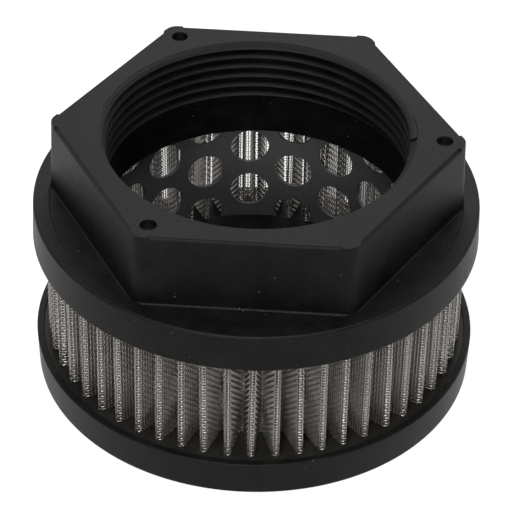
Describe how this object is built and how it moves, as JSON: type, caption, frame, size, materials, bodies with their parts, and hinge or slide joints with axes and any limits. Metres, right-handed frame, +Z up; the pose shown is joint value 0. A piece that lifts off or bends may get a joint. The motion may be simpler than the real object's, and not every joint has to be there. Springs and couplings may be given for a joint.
{
  "type": "suction strainer",
  "caption": "Short round hydraulic suction strainer with a hexagonal threaded head, a pleated wire cloth pack round a perforated core tube and a closed bottom cap.",
  "frame": {"origin": "middle of the bottom cap's underside, where the strainer stands", "axes": "+Z up along the thread's axis, out of the port; two flats of the hexagon face +Y and -Y and two of its corners lie on the X axis"},
  "size_m": [0.0888, 0.0888, 0.0546],
  "materials": {
    "head_nylon": "black glass-filled nylon, satin moulded skin",
    "cap_nylon": "black glass-filled nylon, satin moulded skin",
    "tube_steel": "zinc-plated rolled sheet, slightly blue",
    "wire_cloth": "plain woven stainless wire cloth",
    "clip_steel": "bare strip",
    "adhesive": "dark cast adhesive"
  },
  "bodies": {
    "root": {"hex_head": "head_nylon", "bottom_cap": "cap_nylon", "core_tube": "tube_steel", "pleated_mesh": "wire_cloth", "seam_clip": "clip_steel", "upper_adhesive": "adhesive", "lower_adhesive": "adhesive"}
  },
  "joints": []
}
